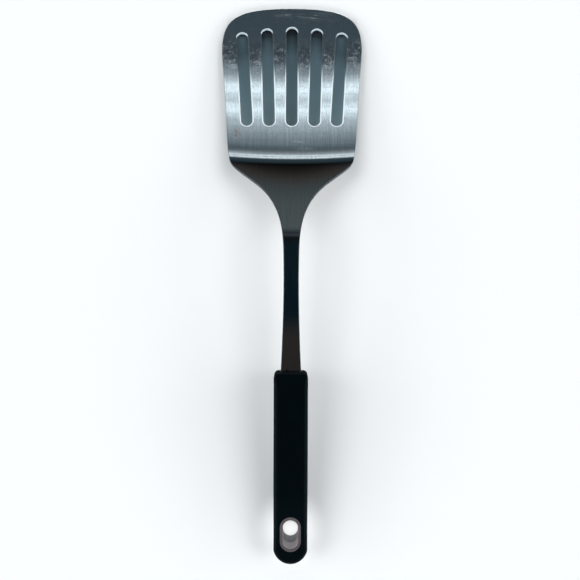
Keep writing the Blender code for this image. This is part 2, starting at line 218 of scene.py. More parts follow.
def mid_surface(x, s):
    bow = CREASE_BOW * x * x
    bend = Vector((SHANK_BEND_Y, 0.0))
    crease = blade_line(bow)
    s_crease = S_CREASE + bow

    def straight(q):
        if q <= S_BEND:
            return Vector((q, 0.0))
        if q <= s_crease:
            return bend.lerp(crease, (q - S_BEND) / (s_crease - S_BEND))
        past = q - s_crease
        lift = -math.tan(CREASE_FLARE) * min(past, CREASE_REACH)
        if past > CREASE_REACH:
            rest = max(0.0, 1 - (past - CREASE_REACH) / CREASE_FLARE_LEN)
            lift -= CREASE_FLARE * CREASE_FLARE_LEN / 2.5 * (1 - rest ** 2.5)
        return blade_line(q - S_CREASE) + Vector((0.0, lift))

    p = straight(s)
    for corner, point, reach in ((S_BEND, bend, SHANK_BEND_REACH), (s_crease, crease, CREASE_REACH)):
        if abs(s - corner) < reach:
            t = (s - corner + reach) / (2 * reach)
            a, b = straight(corner - reach), straight(corner + reach)
            p = a * (1 - t) ** 2 + point * (2 * t * (1 - t)) + b * t ** 2
    return Vector((x, p.x, p.y))


def sheet_axes(x, s):
    """Middle point and unit axes (across, along, out of the front) of the bent sheet at (x, s)."""
    h = 0.00004
    ds = (mid_surface(x, s + h) - mid_surface(x, s - h)).normalized()
    dx = mid_surface(x + h, s) - mid_surface(x - h, s)
    out = dx.cross(ds).normalized()
    return mid_surface(x, s), ds.cross(out), ds, out


def build_steel():
    bm = bmesh.new()
    flat_n = bm.verts.layers.float_vector.new("flat_n")
    flat_uv = bm.verts.layers.float_vector.new("flat_uv")
    rim_of = bm.verts.layers.float.new("slot_edge")
    loops = [(counter_clockwise(blank_outline()), EDGE_R, 0.0)]
    for x0, x1, top in SLOT_ROWS:
        pts = slot_outline(x0, x1, S_CREASE + SLOT_BOTTOM, S_CREASE + top, SLOT_W / 2)
        loops.append((counter_clockwise(pts)[::-1], SLOT_EDGE_R, 1.0))
    for y in PEG_Y:
        loops.append((circle(0.0, y, PEG_HOLE_R)[::-1], EDGE_R, 0.0))

    half = SHEET_T / 2
    seg = 6
    low_edges, high_edges = [], []
    for pts, r, is_slot in loops:
        nrm = normals_of(pts)
        if is_slot:
            # the drawn slot is the size over the rollover
            pts = [(p[0] + n.x * 0.0003, p[1] + n.y * 0.0003) for p, n in zip(pts, nrm)]
        rings = []
        profile = []
        band = 0.00052 if is_slot else 0.0
        for side in (-1, 1):
            angles = [math.pi / 2 * i / seg for i in range(seg + 1)]
            if side > 0:
                profile += [(r * (1 - math.cos(a)), half - r + r * math.sin(a), math.cos(a), math.sin(a)) for a in angles]
            else:
                profile += [(r * (1 - math.cos(a)), -(half - r + r * math.sin(a)), math.cos(a), -math.sin(a)) for a in angles[::-1]]
        if is_slot:
            # one more ring on each face, so that the painted rim light can end on the flat
            profile = [(r + band, -half, 0.0, -1.0)] + profile + [(r + band, half, 0.0, 1.0)]
        run = 0.0
        runs = []
        for k, q in enumerate(profile):
            if k:
                run += math.hypot(q[0] - profile[k - 1][0], q[1] - profile[k - 1][1])
            runs.append(run)
        for (inset, z, c, sn), run in zip(profile, runs):
            rg = []
            for p, n in zip(pts, nrm):
                u = n.normalized()
                v = bm.verts.new((p[0] - n.x * inset, p[1] - n.y * inset, z))
                v[flat_n] = Vector((u.x * c, u.y * c, sn))
                out = runs[-1] - run - band
                v[flat_uv] = Vector((p[0] - n.x * r + u.x * out, p[1] - n.y * r + u.y * out, 0.0))
                v[rim_of] = is_slot if inset < r + 1e-7 else 0.0
                rg.append(v)
            rings.append(rg)
        for a, b in zip(rings, rings[1:]):
            n = len(a)
            for i in range(n):
                j = (i + 1) % n
                bm.faces.new((a[i], a[j], b[j], b[i]))
        for target, rg in ((low_edges, rings[0]), (high_edges, rings[-1])):
            for i in range(len(rg)):
                target.append(bm.edges.get((rg[i], rg[(i + 1) % len(rg)])))
    before = set(bm.faces)
    for edges in (low_edges, high_edges):
        bmesh.ops.triangle_fill(bm, use_beauty=True, use_dissolve=False, edges=edges, normal=(0, 0, 1))

    def slice_at(co, no):
        bmesh.ops.bisect_plane(bm, geom=bm.verts[:] + bm.edges[:] + bm.faces[:], dist=2e-7, plane_co=co, plane_no=no)

    for i in range(-15, 16):
        slice_at((0.0031 * i + 0.00011, 0, 0), (1, 0, 0))
    for v in bm.verts:
        v.co.y -= CREASE_BOW * v.co.x ** 2
    stations = [S_BEND + SHANK_BEND_REACH * (i / 12 - 1) for i in range(25)]
    stations += [S_CREASE + CREASE_REACH * (i / 6 - 1) for i in range(13)]
    stations += [S_BEND + NECK_LEN * f for f in (0.15, 0.3, 0.45, 0.6, 0.75, 0.9)]
    stations += [S_CREASE + CREASE_REACH + CREASE_FLARE_LEN * f / 12 for f in range(1, 13)]
    stations += [S_CREASE + BLADE_LEN * f for f in (0.18, 0.28, 0.4, 0.5, 0.6, 0.7, 0.8, 0.9)]
    for s in sorted(stations):
        slice_at((0, s, 0), (0, 1, 0))
    for v in bm.verts:
        v.co.y += CREASE_BOW * v.co.x ** 2

    normals = []
    bm.verts.ensure_lookup_table()
    bm.verts.index_update()
    edge_val, slot_val, coords = [], [], []
    for v in bm.verts:
        x, s, z = v.co
        on_flat = abs(abs(z) - half) < 1e-6
        n = Vector((0.0, 0.0, 1.0 if z > 0 else -1.0)) if on_flat else v[flat_n].normalized()
        mid, ex, es, en = sheet_axes(x, s)
        coords.append((x, s) if on_flat else (v[flat_uv].x, v[flat_uv].y))
        normals.append(ex * n.x + es * n.y + en * n.z)
        edge_val.append(math.sqrt(max(0.0, 1 - n.z * n.z)))
        slot_val.append(v[rim_of])
        v.co = mid + en * z
    bmesh.ops.triangulate(bm, faces=bm.faces[:])
    for f in bm.faces:
        f.smooth = True
    mesh = bpy.data.meshes.new("steel_sheet")
    bm.to_mesh(mesh)
    bm.free()
    for name in ("flat_n", "flat_uv", "slot_edge"):
        if name in mesh.attributes:
            mesh.attributes.remove(mesh.attributes[name])
    uv = mesh.uv_layers.new(name="sheet")
    for li, loop in enumerate(mesh.loops):
        uv.data[li].uv = coords[loop.vertex_index]
    for name, vals in (("edge", edge_val), ("slot_rim", slot_val)):
        att = mesh.attributes.new(name, 'FLOAT', 'POINT')
        att.data.foreach_set("value", vals)
    mesh.transform(TO_ROW)
    turn = TO_ROW.to_3x3()
    mesh.normals_split_custom_set_from_vertices([turn @ n for n in normals])
    obj = bpy.data.objects.new("steel_sheet", mesh)
    bpy.context.scene.collection.objects.link(obj)
    return obj


# ---------------------------------------------------------------------------------------------------------------------
# handle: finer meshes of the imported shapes, closed up to hairline joints
# ---------------------------------------------------------------------------------------------------------------------

def ring(bm, points):
    return [bm.verts.new(p) for p in points]


def skin(bm, rings):
    for a, b in zip(rings, rings[1:]):
        n = len(a)
        for i in range(n):
            j = (i + 1) % n
            bm.faces.new((a[i], a[j], b[j], b[i]))


def lofted(bm, rings):
    vr = [ring(bm, r) for r in rings]
    skin(bm, vr)
    bm.faces.new(vr[0][::-1])
    bm.faces.new(vr[-1])


def raw_object(name, bm):
    bmesh.ops.recalc_face_normals(bm, faces=bm.faces[:])
    mesh = bpy.data.meshes.new(name)
    bm.to_mesh(mesh)
    bm.free()
    obj = bpy.data.objects.new(name, mesh)
    bpy.context.scene.collection.objects.link(obj)
    return obj


def grip_plan(grow=0.0, fine=1):
    hw = GRIP_HALF_W + grow
    top = GRIP_TOP_Y + grow
    butt = GRIP_BUTT_Y - grow
    rc = max(0.0008, GRIP_PLAN_R + grow)
    big = GRIP_BUTT_R + grow
    small = max(0.0006, GRIP_BUTT_CORNER_R + grow)
    cy = butt + big
    fx = hw - small
    fy = cy - math.sqrt((big - small) ** 2 - fx ** 2)
    ang = math.atan2(fx, cy - fy)
    half = []
    n1 = 10 * fine
    for i in range(0, n1 + 1):
        a = ang * i / n1
        half.append((big * math.sin(a), cy - big * math.cos(a), GRIP_BUTT_EDGE_R))
    n2 = 5 * fine
    for i in range(1, n2 + 1):
        a = ang + (math.pi / 2 - ang) * i / n2
        half.append((fx + small * math.sin(a), fy - small * math.cos(a), GRIP_BUTT_EDGE_R))
    for i in range(1, 24):
        f = i / 24
        blend = min(1.0, f / 0.12)
        half.append((hw, fy + (top - rc - fy) * f, GRIP_BUTT_EDGE_R + (GRIP_EDGE_R - GRIP_BUTT_EDGE_R) * blend))
    n3 = 7 * fine
    for i in range(0, n3 + 1):
        a = math.pi / 2 * i / n3
        w = i / n3
        half.append((hw - rc + rc * math.cos(a), top - rc + rc * math.sin(a), 0.0020 + (GRIP_END_EDGE_R - 0.0020) * w))
    half.append(((hw - rc) * 0.5, top, GRIP_END_EDGE_R))

    def taper(x, y):
        t = min(1.0, max(0.0, (-0.115 - y) / 0.030))
        t = t * t * (3 - 2 * t)
        return x * (1 + (GRIP_HALF_W_BUTT / GRIP_HALF_W - 1) * t)

    half = [(taper(x, y), y, r) for x, y, r in half]
    left = [(-x, y, r) for x, y, r in reversed(half) if x > 1e-9]
    return half + [(0.0, top, GRIP_END_EDGE_R)] + left


def rounded_slab(bm, plan, half_t, radius_of, seg=4):
    pts = [(x, y) for x, y, r in plan]
    nrm = normals_of(pts)
    rad = [radius_of(r) for x, y, r in plan]
    rings = []
    for side in (-1, 1):
        angles = [math.pi / 2 * i / seg for i in range(seg + 1)]
        if side < 0:
            angles = angles[::-1]
        for a in angles:
            rings.append([
                (p[0] - n.x * r * (1 - math.cos(a)), p[1] - n.y * r * (1 - math.cos(a)),
                 side * (half_t - r + r * math.sin(a)))
                for p, n, r in zip(pts, nrm, rad)])
    lofted(bm, rings)


def oval(half_w, half_l, z, n=28, y=HOLE_Y):
    straight = half_l - half_w
    pts = []
    for i in range(n + 1):
        a = math.pi * i / n
        pts.append((half_w * math.cos(a), y + straight + half_w * math.sin(a), z))
    for i in range(n + 1):
        a = math.pi + math.pi * i / n
        pts.append((half_w * math.cos(a), y - straight + half_w * math.sin(a), z))
    return pts


def settle(obj, cutters, smooth_angle=26.0):
    """Runs the Booleans, takes their result as the mesh, marks the sharp edges and weights the normals by area."""
    for cutter, operation in cutters:
        mod = obj.modifiers.new("cut", 'BOOLEAN')
        mod.operation = operation
        mod.solver = 'EXACT'
        mod.object = cutter
    bpy.context.view_layer.update()
    graph = bpy.context.evaluated_depsgraph_get()
    mesh = bpy.data.meshes.new_from_object(obj.evaluated_get(graph))
    name = obj.name
    old = obj.data
    obj.modifiers.clear()
    obj.data = mesh
    bpy.data.meshes.remove(old)
    for cutter, operation in cutters:
        data = cutter.data
        bpy.data.objects.remove(cutter, do_unlink=True)
        bpy.data.meshes.remove(data)
    bm = bmesh.new()
    bm.from_mesh(mesh)
    bmesh.ops.dissolve_degenerate(bm, dist=1e-7, edges=bm.edges[:])
    limit = math.radians(smooth_angle)
    for f in bm.faces:
        f.smooth = True
    for e in bm.edges:
        e.smooth = not (len(e.link_faces) == 2 and e.calc_face_angle(0.0) > limit)
    bmesh.ops.triangulate(bm, faces=bm.faces[:], quad_method='BEAUTY', ngon_method='BEAUTY')
    bm.to_mesh(mesh)
    bm.free()
    mesh.name = name
    if name.startswith("core"):
        # marks the far end of the hole's wall, which the core material paints as light: lighter on the front core,
        # darker painted shade on the back
        wall = []
        for v in mesh.vertices:
            x, y, z = v.co
            dy = max(0.0, abs(y - HOLE_Y) - (THROAT_HALF_L - THROAT_HALF_W))
            r = math.hypot(x, dy)
            deep = r < HOLE_HALF_W + 0.00002 and abs(z) < GRIP_HALF_T - 0.00035
            wall.append(min(1.0, max(0.0, (HOLE_Y - 0.0015 - y) / 0.0035)) if deep else 0.0)
        mesh.attributes.new("wall", 'FLOAT', 'POINT').data.foreach_set("value", wall)
    mesh.transform(TO_ROW)
    weigh = obj.modifiers.new("weighted", 'WEIGHTED_NORMAL')
    weigh.keep_sharp = True
    weigh.weight = 80
    return obj


def build_grip():
    bm = bmesh.new()
    rounded_slab(bm, grip_plan(fine=2), GRIP_HALF_T, lambda r: r, seg=8)
    grip = raw_object("grip_skin", bm)
    bm = bmesh.new()
    rounded_slab(bm, grip_plan(-GRIP_WALL), GRIP_HALF_T - GRIP_WALL, lambda r: 0.0004, seg=2)
    cavity = raw_object("cavity", bm)
    # the mouth round the lining turns in with a small lip
    bm = bmesh.new()
    lip = 0.00016
    rings = []
    for z, grow in ((-0.015, lip), (-GRIP_HALF_T, lip), (-GRIP_HALF_T + lip, 0.0), (GRIP_HALF_T - lip, 0.0), (GRIP_HALF_T, lip), (0.015, lip)):
        rings.append(oval(RIM_HALF_W + FIT + grow, RIM_HALF_L + FIT + grow, z))
    lofted(bm, rings)
    mouth = raw_object("mouth", bm)
    bm = bmesh.new()
    hw, ht = ENTRY_HALF + FIT, SHEET_T / 2 + FIT
    corners = [(-hw, GRIP_TOP_Y - 0.005), (hw, GRIP_TOP_Y - 0.005), (hw, GRIP_TOP_Y + 0.004), (-hw, GRIP_TOP_Y + 0.004)]
    lofted(bm, [[(x, y, -ht) for x, y in corners], [(x, y, ht) for x, y in corners]])
    slot = raw_object("shank_slot", bm)
    return settle(grip, [(cavity, 'DIFFERENCE'), (mouth, 'DIFFERENCE'), (slot, 'DIFFERENCE')])


def build_core(front):
    side = 1 if front else -1
    inset = GRIP_WALL + FIT
    name = "core_front" if front else "core_back"
    half_t = GRIP_HALF_T - inset
    bm = bmesh.new()
    pts = [(x, y) for x, y, r in grip_plan(-inset)]
    nrm = normals_of(pts)
    rings = []
    for z, ins in ((0.00003, 0.0), (half_t - 0.0004, 0.0), (half_t, 0.0004)):
        rings.append([(p[0] - n.x * ins, p[1] - n.y * ins, side * z) for p, n in zip(pts, nrm)])
    lofted(bm, rings)
    core = raw_object(name, bm)
    cutters = []

    bm = bmesh.new()
    rings = []
    rr = 0.00022
    levels = [(half_t - 0.0020, 0.0)] + [(GRIP_HALF_T - rr + rr * math.sin(a), rr * (1 - math.cos(a)))
                                        for a in [math.pi / 2 * i / 4 for i in range(5)]]
    for z, ins in levels:
        rings.append([(x, y, side * z) for x, y, q in oval(RIM_HALF_W - ins, RIM_HALF_L - ins, 0)])
    lofted(bm, rings)
    cutters.append((raw_object(name + "_lining", bm), 'UNION'))

    # hole: rounded mouth, drafted wall, narrowest at the parting plane, with the parting edge just broken
    bm = bmesh.new()
    rings = []
    r = HOLE_EDGE_R
    prof = [(-0.001, THROAT_HALF_W + 0.0001, THROAT_HALF_L + 0.0001), (0.00003, THROAT_HALF_W + 0.0001, THROAT_HALF_L + 0.0001),
            (0.00015, THROAT_HALF_W, THROAT_HALF_L)]
    for i in range(6):
        a = math.pi / 2 * i / 5
        prof.append((GRIP_HALF_T - r + r * math.sin(a), HOLE_HALF_W - 0.0001 - r + r * (1 - math.cos(a)) + 0.0001,
                     HOLE_HALF_L - 0.0001 - r + r * (1 - math.cos(a)) + 0.0001))
    prof.append((GRIP_HALF_T + 0.001, HOLE_HALF_W + 0.0002, HOLE_HALF_L + 0.0002))
    for z, w, l in prof:
        rings.append([(x, y, side * z) for x, y, q in oval(w, l, 0)])
    lofted(bm, rings)
    cutters.append((raw_object(name + "_hole", bm), 'DIFFERENCE'))

    bm = bmesh.new()
    deep = SHEET_T / 2 + FIT
    th = ENTRY_HALF + FIT
    y_end = TANG_END_Y - 0.0003
    outline = [(-th, GRIP_TOP_Y), (-th, GRIP_TOP_Y - 0.0095), (-TANG_HALF - FIT, GRIP_TOP_Y - 0.0115),
               (-TANG_HALF - FIT, y_end), (TANG_HALF + FIT, y_end), (TANG_HALF + FIT, GRIP_TOP_Y - 0.0115),
               (th, GRIP_TOP_Y - 0.0095), (th, GRIP_TOP_Y)]
    lofted(bm, [[(x, y, -side * 0.001) for x, y in outline], [(x, y, side * deep) for x, y in outline]])
    cutters.append((raw_object(name + "_pocket", bm), 'DIFFERENCE'))

    for i, y in enumerate(PEG_Y):
        bm = bmesh.new()
        if front:
            lofted(bm, [[(px, py, deep + 0.002) for px, py in circle(0.0, y, PEG_R)],
                        [(px, py, -deep - 0.0015) for px, py in circle(0.0, y, PEG_R)],
                        [(px, py, -deep - 0.0019) for px, py in circle(0.0, y, PEG_R - 0.0004)]])
            cutters.append((raw_object(name + "_peg%d" % i, bm), 'UNION'))
        else:
            lofted(bm, [[(px, py, 0.0) for px, py in circle(0.0, y, PEG_R + 0.0003)],
                        [(px, py, -deep - 0.0022) for px, py in circle(0.0, y, PEG_R + 0.0003)]])
            cutters.append((raw_object(name + "_socket%d" % i, bm), 'DIFFERENCE'))
    return settle(core, cutters)


# ---------------------------------------------------------------------------------------------------------------------
# node helpers
# ---------------------------------------------------------------------------------------------------------------------

class Graph:
    def __init__(self, tree):
        self.tree = tree
        self.tree.nodes.clear()

    def node(self, kind, **props):
        n = self.tree.nodes.new(kind)
        for k, v in props.items():
            setattr(n, k, v)
        return n

    def put(self, socket, value):
        if hasattr(value, "is_output"):
            self.tree.links.new(value, socket)
        elif value is not None:
            socket.default_value = value

    def m(self, op, a, b=None, c=None, clamp=False):
        n = self.node('ShaderNodeMath', operation=op, use_clamp=clamp)
        self.put(n.inputs[0], a)
        if b is not None:
            self.put(n.inputs[1], b)
        if c is not None:
            self.put(n.inputs[2], c)
        return n.outputs[0]

    def v(self, op, a, b=None, scale=None):
        n = self.node('ShaderNodeVectorMath', operation=op)
        self.put(n.inputs[0], a)
        if b is not None:
            self.put(n.inputs[1], b)
        if scale is not None:
            self.put(n.inputs['Scale'], scale)
        return n.outputs['Value'] if op in ('DOT_PRODUCT', 'LENGTH', 'DISTANCE') else n.outputs['Vector']

    def xyz(self, vec):
        n = self.node('ShaderNodeSeparateXYZ')
        self.put(n.inputs[0], vec)
        return n.outputs[0], n.outputs[1], n.outputs[2]

    def vec(self, x, y, z=0.0):
        n = self.node('ShaderNodeCombineXYZ')
        for i, q in enumerate((x, y, z)):
            self.put(n.inputs[i], q)
        return n.outputs[0]

    def ease(self, x, lo, hi, a=0.0, b=1.0):
        """Smooth step of x from lo to hi, giving a to b."""
        n = self.node('ShaderNodeMapRange', interpolation_type='SMOOTHSTEP', clamp=True)
        self.put(n.inputs['Value'], x)
        n.inputs['From Min'].default_value = lo
        n.inputs['From Max'].default_value = hi
        n.inputs['To Min'].default_value = a
        n.inputs['To Max'].default_value = b
        return n.outputs['Result']

    def noise(self, vec, scale, detail=2.0, rough=0.5, dist=0.0, colour=False):
        n = self.node('ShaderNodeTexNoise', noise_dimensions='3D')
        self.put(n.inputs['Vector'], vec)
        n.inputs['Scale'].default_value = scale
        n.inputs['Detail'].default_value = detail
        n.inputs['Roughness'].default_value = rough
        n.inputs['Distortion'].default_value = dist
        return n.outputs['Color' if colour else 'Fac']

    def mixc(self, fac, a, b, blend='MIX'):
        n = self.node('ShaderNodeMix', data_type='RGBA', blend_type=blend, clamp_factor=True)
        self.put(n.inputs[0], fac)
        self.put(n.inputs[6], a)
        self.put(n.inputs[7], b)
        return n.outputs[2]

    def lerp(self, fac, a, b):
        n = self.node('ShaderNodeMix', data_type='FLOAT', clamp_factor=True)
        self.put(n.inputs[0], fac)
        self.put(n.inputs[2], a)
        self.put(n.inputs[3], b)
        return n.outputs[0]

    def ramp(self, fac, stops):
        """stops: (position, (r, g, b)) in increasing order."""
        n = self.node('ShaderNodeValToRGB')
        self.put(n.inputs[0], fac)
        e = n.color_ramp.elements
        while len(e) > 1:
            e.remove(e[-1])
        e[0].position, e[0].color = stops[0][0], (*stops[0][1], 1.0)
        for pos, col in stops[1:]:
            q = e.new(pos)
            q.color = (*col, 1.0)
        return n.outputs[0]

    def patch(self, x, y, cx, cy, rx, ry, soft=1.0):
        """1 inside an ellipse at (cx, cy), easing to 0 at its rim."""
        dx = self.m('DIVIDE', self.m('SUBTRACT', x, cx), rx)
        dy = self.m('DIVIDE', self.m('SUBTRACT', y, cy), ry)
        d = self.m('SQRT', self.m('ADD', self.m('MULTIPLY', dx, dx), self.m('MULTIPLY', dy, dy)))
        return self.ease(d, 1.0 - soft, 1.0, 1.0, 0.0)


def new_material(name, colour):
    mat = bpy.data.materials.new(name)
    mat.use_nodes = True
    mat.diffuse_color = (*colour, 1.0)
    g = Graph(mat.node_tree)
    out = g.node('ShaderNodeOutputMaterial')
    bsdf = g.node('ShaderNodeBsdfPrincipled')
    g.tree.links.new(bsdf.outputs[0], out.inputs['Surface'])
    return mat, g, bsdf


# ---------------------------------------------------------------------------------------------------------------------
# materials
# ---------------------------------------------------------------------------------------------------------------------

def steel_material():
    mat, g, b = new_material("brushed_stainless", (0.56, 0.58, 0.59))
    uv = g.node('ShaderNodeUVMap', uv_map="sheet").outputs[0]
    p = g.v('MULTIPLY', uv, (1000.0, 1000.0, 0.0))          # millimetres on the flat blank
    x, s, _ = g.xyz(p)
    t = g.m('SUBTRACT', s, S_CREASE * 1000.0)
    t = g.m('SUBTRACT', t, g.m('MULTIPLY', g.m('MULTIPLY', x, x), CREASE_BOW / 1000.0))
    edge = g.node('ShaderNodeAttribute', attribute_name="edge").outputs['Fac']
    slot = g.node('ShaderNodeAttribute', attribute_name="slot_rim").outputs['Fac']
    blade = g.ease(t, -2.0, 1.5)
    on_flat = g.ease(edge, 0.02, 0.15, 1.0, 0.0)

    # long-grain brushing, in three widths
    fine = g.noise(g.vec(g.m('MULTIPLY', x, 9.0), g.m('MULTIPLY', s, 0.20), 0.0), 1.0, 3.0, 0.6)
    mid = g.noise(g.vec(g.m('MULTIPLY', x, 1.5), g.m('MULTIPLY', s, 0.030), 7.0), 1.0, 3.0, 0.65)
    broad = g.noise(g.vec(g.m('MULTIPLY', x, 0.9), g.m('MULTIPLY', s, 0.014), 3.0), 1.0, 3.0, 0.55)
    cloud = g.noise(g.vec(x, s, 1.0), 0.09, 3.0, 0.55)
    mottle = g.noise(g.vec(x, s, 5.0), 0.55, 4.0, 0.6)

    # curled wipe marks across the upper half of the blade, and down its left side
    warp = g.v('ADD', g.vec(x, s, 0.0), g.v('SCALE', g.noise(g.vec(x, s, 2.0), 0.10, 2.0, 0.5, colour=True), scale=9.0))
    field = g.noise(warp, 0.24, 1.5, 0.45)
    thread = g.ease(g.m('ABSOLUTE', g.m('SUBTRACT', field, 0.5)), 0.0, 0.040, 1.0, 0.0)
    field2 = g.noise(g.v('ADD', warp, (17.0, 5.0, 6.0)), 0.36, 1.5, 0.45)
    thread = g.m('MAXIMUM', thread, g.ease(g.m('ABSOLUTE', g.m('SUBTRACT', field2, 0.52)), 0.0, 0.034, 0.8, 0.0))
    field3 = g.noise(g.v('ADD', warp, (5.0, 29.0, 3.0)), 0.58, 2.0, 0.5)
    thread = g.m('MAXIMUM', thread, g.ease(g.m('ABSOLUTE', g.m('SUBTRACT', field3, 0.49)), 0.0, 0.036, 0.5, 0.0))
    broken = g.ease(g.noise(g.vec(x, s, 9.0), 0.30, 2.0, 0.5), 0.37, 0.60)
    band = g.m('MULTIPLY', g.ease(t, 65.0, 70.5), g.ease(t, 83.0, 96.0, 1.0, 0.0))
    left = g.patch(x, t, -43.0, 80.0, 11.0, 19.0, 0.8)
    used = g.m('MAXIMUM', band, left)
    curls = g.m('MULTIPLY', g.m('MULTIPLY', thread, broken), used)
    speck = g.m('MULTIPLY', g.ease(g.noise(g.v('MULTIPLY', warp, (1.0, 0.8, 3.0)), 0.80, 3.0, 0.55), 0.47, 0.68), g.m('MAXIMUM', g.m('MULTIPLY', used, 0.36), g.m('MULTIPLY', g.ease(t, 85.0, 101.0), 0.12)))

    # fine hairline scratches that follow the tip, and short scuffs near the crease
    arc = g.m('ADD', t, g.m('MULTIPLY', g.m('MULTIPLY', x, x), 0.0052))
    hair_f = g.noise(g.vec(g.m('MULTIPLY', x, 0.030), g.m('MULTIPLY', arc, 0.95), 4.0), 1.0, 1.0, 0.5)
    hair = g.ease(g.m('ABSOLUTE', g.m('SUBTRACT', hair_f, 0.5)), 0.0, 0.036, 1.0, 0.0)
    hair_mask = g.m('MULTIPLY', g.ease(g.noise(g.vec(x, s, 12.0), 0.10, 2.0, 0.5), 0.42, 0.60),
                    g.m('MAXIMUM', g.patch(x, t, 19.0, 110.5, 26.0, 6.5, 0.7), g.patch(x, t, -6.0, 113.0, 9.0, 3.0, 0.7)))
    scratches = g.m('MULTIPLY', hair, hair_mask)
    scuff_f = g.noise(g.vec(g.m('MULTIPLY', x, 0.75), g.m('MULTIPLY', t, 1.3), 8.0), 1.0, 3.0, 0.6, 0.9)
    scuff = g.m('MULTIPLY', g.ease(scuff_f, 0.52, 0.60),
                g.m('MAXIMUM', g.patch(x, t, 3.6, 15.1, 5.5, 1.4, 0.5), g.patch(x, t, 9.1, 9.8, 8.5, 1.8, 0.5)))
    marks = g.m('ADD', g.m('ADD', curls, speck), g.m('ADD', scratches, scuff), clamp=True)

    # painted shade over the shank's bend, a cooked-on stain by the left edge, a rust fleck at the grip
    bend = g.patch(x, s, 0.0, S_BEND * 1000.0 + 0.4, 60.0, 6.5, 0.85)
    stain = g.m('MULTIPLY', g.patch(x, t, -37.4, 19.9, 3.8, 6.5, 0.8), g.ease(g.noise(g.vec(x, s, 15.0), 0.75, 3.0, 0.65), 0.40, 0.56))
    rust = g.m('MULTIPLY', g.patch(x, s, -2.3, GRIP_TOP_Y * 1000.0 + 0.6, 1.7, 2.4, 0.7), g.ease(g.noise(g.vec(x, s, 21.0), 1.3, 2.0, 0.6), 0.38, 0.55))

    shade = g.m('ADD', 1.0, g.m('MULTIPLY', g.m('SUBTRACT', mid, 0.5), 0.30))
    shade = g.m('ADD', shade, g.m('MULTIPLY', g.m('SUBTRACT', broad, 0.5), 0.16))
    shade = g.m('ADD', shade, g.m('MULTIPLY', g.m('SUBTRACT', mottle, 0.5), 0.12))
    near_crease = g.m('MULTIPLY', g.ease(t, 0.0, 2.5), g.ease(t, 11.0, 26.0, 1.0, 0.0))
    shade = g.m('ADD', shade, g.m('MULTIPLY', g.m('MULTIPLY', g.m('SUBTRACT', mid, 0.5), 0.55), near_crease))
    shade = g.lerp(on_flat, 1.0, shade)
    colour = g.mixc(cloud, (0.545, 0.572, 0.590, 1.0), (0.575, 0.588, 0.590, 1.0))
    colour = g.mixc(1.0, colour, g.vec(shade, shade, shade), 'MULTIPLY')
    # painted shade in the crease and just past it: darkest and coolest where the sheet turns, lighter again up the
    # blade
    crease_painted_shade = g.ramp(g.m('DIVIDE', g.m('ADD', t, 8.0), 22.0),
                         ((0.0, (1.0, 1.0, 1.0)), (0.093, (0.97, 0.95, 0.95)), (0.164, (0.80, 0.80, 0.84)), (0.240, (0.46, 0.53, 0.58)), (0.275, (0.24, 0.31, 0.34)),
                          (0.305, (0.17, 0.24, 0.27)), (0.330, (0.24, 0.32, 0.35)), (0.360, (0.40, 0.47, 0.50)), (0.395, (0.60, 0.66, 0.68)), (0.440, (0.85, 0.87, 0.87)),
                          (0.482, (0.84, 0.82, 0.80)), (0.600, (0.82, 0.79, 0.77)), (0.775, (0.76, 0.75, 0.74)), (0.955, (1.0, 1.0, 1.0))))
    colour = g.mixc(1.0, colour, crease_painted_shade, 'MULTIPLY')
    # painted shade: a darker blue-grey band across the upper blade, below the tip
    upper_blade_painted_shade = g.m('MULTIPLY', g.ease(t, 70.0, 76.5), g.ease(t, 84.0, 94.0, 1.0, 0.0))
    colour = g.mixc(g.m('MULTIPLY', upper_blade_painted_shade, 0.34), colour, (0.10, 0.115, 0.13, 1.0))
    # painted shade: a cooler, darker tint on the flat faces of the upper shank
    shank_painted_shade = g.m('MULTIPLY', g.ease(s, S_BEND * 1000.0 - 3.0, S_BEND * 1000.0 - 6.0), g.ease(s, -14.0, -24.0, 1.0, 0.0))
    shank_painted_shade = g.m('MULTIPLY', shank_painted_shade, on_flat)
    # painted shade on the rounded outer edges, darkened to near black from the crease down the neck and shank
    edge_painted_shade = g.m('MULTIPLY', g.m('MULTIPLY', g.ease(edge, 0.04, 0.30), g.m('SUBTRACT', 1.0, slot)), g.ease(t, -1.0, 6.0, 1.0, 0.0))
    colour = g.mixc(edge_painted_shade, colour, g.mixc(1.0, colour, (0.16, 0.18, 0.19, 1.0), 'MULTIPLY'))
    colour = g.mixc(shank_painted_shade, colour, g.mixc(1.0, colour, (0.60, 0.90, 1.0, 1.0), 'MULTIPLY'))
    # painted shade over the shank's bend, dark and brownish
    colour = g.mixc(g.m('MULTIPLY', bend, 0.65), colour, (0.13, 0.095, 0.085, 1.0))
    colour = g.mixc(g.m('MULTIPLY', stain, 0.70), colour, (0.090, 0.062, 0.050, 1.0))
    colour = g.mixc(g.m('MULTIPLY', rust, 0.85), colour, (0.085, 0.036, 0.018, 1.0))
    colour = g.mixc(g.m('MULTIPLY', marks, 0.36), colour, (0.80, 0.83, 0.85, 1.0))
    # painted light on the punched rims: a white painted highlight at the sides and the heel ends, darker painted shade
    # up beside the tip, a pale painted highlight at the far ends
    along = g.m('ADD', t, g.m('MULTIPLY', g.m('MULTIPLY', x, x), 0.0038))
    far_end = g.ease(along, 98.4, 100.4)
    up_beside = g.ease(along, 60.0, 78.0)
    rim = g.lerp(up_beside, g.ease(slot, 0.15, 0.75), g.ease(slot, 0.72, 1.0))
    rim_painted_light_colour = g.mixc(up_beside, (0.92, 0.985, 1.0, 1.0), (0.30, 0.34, 0.36, 1.0))
    rim_painted_light_colour = g.mixc(far_end, rim_painted_light_colour, (0.50, 0.58, 0.62, 1.0))
    colour = g.mixc(g.m('MULTIPLY', rim, 0.96), colour, rim_painted_light_colour)
    g.put(b.inputs['Base Color'], colour)

